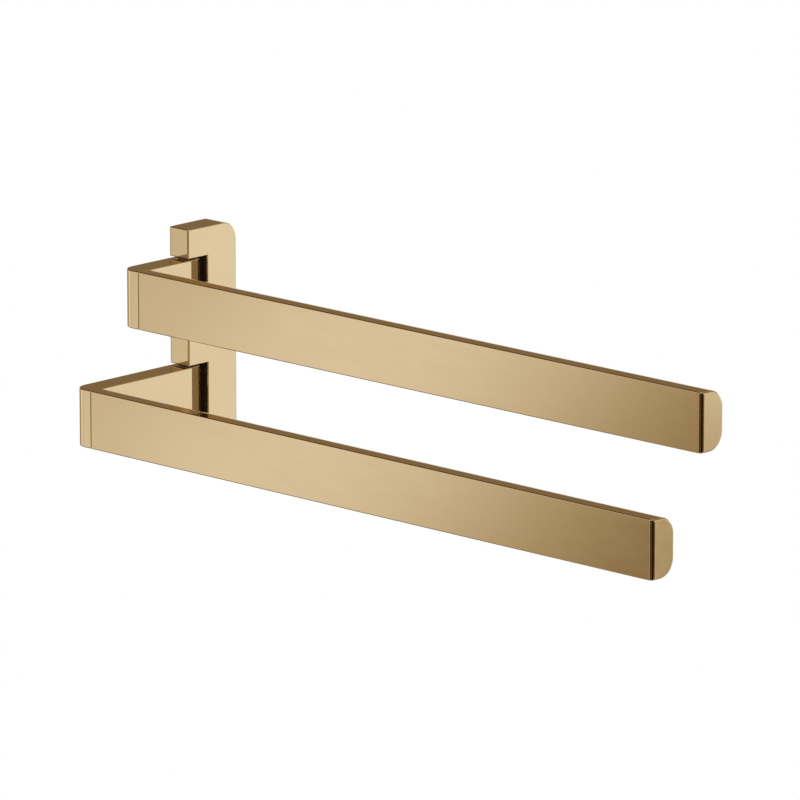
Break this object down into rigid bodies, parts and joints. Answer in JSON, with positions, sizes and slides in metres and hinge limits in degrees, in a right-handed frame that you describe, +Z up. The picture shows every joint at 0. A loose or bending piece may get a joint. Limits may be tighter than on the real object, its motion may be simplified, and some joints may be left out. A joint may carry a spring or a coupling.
{
  "type": "two-arm towel holder",
  "caption": "Wall-mounted towel holder: an upright bracket carries swinging L-shaped arms with flat-sided, softly rounded bars.",
  "frame": {"origin": "centre of the wall plate's back face, on the wall", "axes": "+Y into the wall, so the arms point along -Y at rest; +Z up; +X along the wall, towards the side that the arms swing to"},
  "size_m": [0.1162, 0.44, 0.1316],
  "materials": {
    "polished_bronze": "polished",
    "stainless_steel": "satin",
    "zinc_steel": "zinc plated",
    "bush_polymer": "matte",
    "ring_rubber": "matte"
  },
  "bodies": {
    "bracket": {"bracket_body": "polished_bronze", "wall_plate": "zinc_steel", "clamp_screw": "stainless_steel", "pivot_pin": "stainless_steel", "pin_screw": "stainless_steel", "upper_slide_washers": "stainless_steel", "lower_slide_washers": "stainless_steel", "upper_friction_ring": "ring_rubber", "lower_friction_ring": "ring_rubber"},
    "upper_arm": {"upper_arm_leg": "polished_bronze", "upper_arm_bar": "polished_bronze", "upper_arm_end_cap": "polished_bronze", "upper_top_bush": "bush_polymer", "upper_bottom_bush": "bush_polymer"},
    "lower_arm": {"lower_arm_leg": "polished_bronze", "lower_arm_bar": "polished_bronze", "lower_arm_end_cap": "polished_bronze", "lower_top_bush": "bush_polymer", "lower_bottom_bush": "bush_polymer"}
  },
  "joints": [
    {"name": "upper_arm_swing", "type": "hinge", "parent": "bracket", "child": "upper_arm", "pos_m": [-0.0195, -0.0075, 0.0312], "axis": [0, 0, 1], "range_deg": [0, 90]},
    {"name": "lower_arm_swing", "type": "hinge", "parent": "bracket", "child": "lower_arm", "pos_m": [-0.0195, -0.0075, -0.0312], "axis": [0, 0, 1], "range_deg": [0, 90]}
  ]
}
